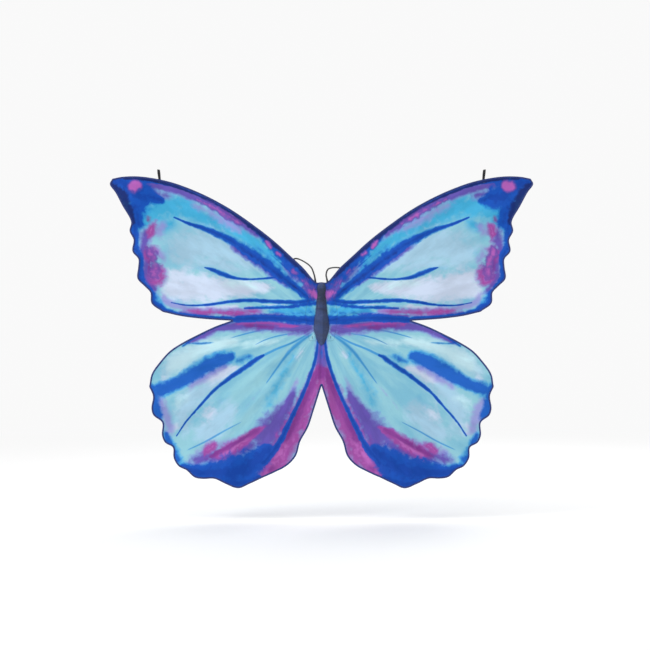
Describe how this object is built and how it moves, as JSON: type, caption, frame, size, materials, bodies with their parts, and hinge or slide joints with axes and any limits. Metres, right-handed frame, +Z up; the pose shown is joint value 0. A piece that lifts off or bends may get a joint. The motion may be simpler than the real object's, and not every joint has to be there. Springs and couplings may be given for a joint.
{
  "type": "butterfly wings costume cape",
  "caption": "Printed satin butterfly wing cape worn on the back, with a stuffed body, elastic shoulder straps and hand loops.",
  "frame": {"origin": "middle of the yoke's back face, which lies between the wearer's shoulder blades", "axes": "+X to the viewer's right as the printed side is seen (the wearer's right), +Y towards the wearer, +Z up to the forewings"},
  "size_m": [1.3744, 0.0203, 1.0364],
  "materials": {
    "wing_satin": "printed polyester satin",
    "hem_tape": "overlocked hem",
    "body_satin": "satin",
    "wadding": "polyester wadding",
    "yoke_cloth": "plain weave backing",
    "elastic": "braided elastic",
    "thread": "sewing thread"
  },
  "bodies": {
    "spine": {"centre_panel": "wing_satin", "yoke": "yoke_cloth", "body_cover": "body_satin", "body_wadding": "wadding", "body_seam": "thread", "left_neck_hem": "hem_tape", "left_crotch_hem": "hem_tape", "left_yoke_stitching": "thread", "left_strap_head": "elastic", "left_strap_foot": "elastic", "left_head_tack": "thread", "left_foot_tack": "thread", "right_neck_hem": "hem_tape", "right_crotch_hem": "hem_tape", "right_yoke_stitching": "thread", "right_strap_head": "elastic", "right_strap_foot": "elastic", "right_head_tack": "thread", "right_foot_tack": "thread"},
    "left_wing": {"left_wing_panel": "wing_satin", "left_forewing_hem": "hem_tape", "left_inner_hem": "hem_tape", "left_hand_loop_tab": "elastic", "left_hand_tack": "thread"},
    "right_wing": {"right_wing_panel": "wing_satin", "right_forewing_hem": "hem_tape", "right_inner_hem": "hem_tape", "right_hand_loop_tab": "elastic", "right_hand_tack": "thread"},
    "left_hindwing": {"left_hindwing_panel": "wing_satin", "left_hindwing_hem": "hem_tape"},
    "right_hindwing": {"right_hindwing_panel": "wing_satin", "right_hindwing_hem": "hem_tape"},
    "left_shoulder_strap": {"left_strap": "elastic"},
    "right_shoulder_strap": {"right_strap": "elastic"},
    "left_hand_loop": {"left_hand_loop": "elastic"},
    "right_hand_loop": {"right_hand_loop": "elastic"}
  },
  "joints": [
    {"name": "left_wing_fold", "type": "hinge", "parent": "spine", "child": "left_wing", "pos_m": [-0.118, -0.0031, 0], "axis": [0, 0, -1], "range_deg": [-80, 80]},
    {"name": "left_hindwing_swing", "type": "hinge", "parent": "left_wing", "child": "left_hindwing", "pos_m": [-0.287, -0.0031, 0.031], "axis": [0.1872, 0, -0.9823], "range_deg": [-30, 30]},
    {"name": "left_shoulder_strap_swing", "type": "hinge", "parent": "spine", "child": "left_shoulder_strap", "pos_m": [-0.058, 0.0024, -0.024], "axis": [-0.2004, 0, -0.9797], "range_deg": [0, 100]},
    {"name": "left_hand_loop_swing", "type": "hinge", "parent": "left_wing", "child": "left_hand_loop", "pos_m": [-0.52554, -0.0031, 0.4904], "axis": [-0.9832, 0, 0.1824], "range_deg": [-60, 60], "stiffness_Nm_per_rad": 0.002},
    {"name": "right_wing_fold", "type": "hinge", "parent": "spine", "child": "right_wing", "pos_m": [0.118, -0.0031, 0], "axis": [0, 0, 1], "range_deg": [-80, 80]},
    {"name": "right_hindwing_swing", "type": "hinge", "parent": "right_wing", "child": "right_hindwing", "pos_m": [0.287, -0.0031, 0.031], "axis": [0.1872, 0, 0.9823], "range_deg": [-30, 30]},
    {"name": "right_shoulder_strap_swing", "type": "hinge", "parent": "spine", "child": "right_shoulder_strap", "pos_m": [0.058, 0.0024, -0.024], "axis": [-0.2216, 0, 0.9751], "range_deg": [0, 100]},
    {"name": "right_hand_loop_swing", "type": "hinge", "parent": "right_wing", "child": "right_hand_loop", "pos_m": [0.52554, -0.0031, 0.4904], "axis": [-0.9832, 0, -0.1824], "range_deg": [-60, 60], "stiffness_Nm_per_rad": 0.002}
  ]
}
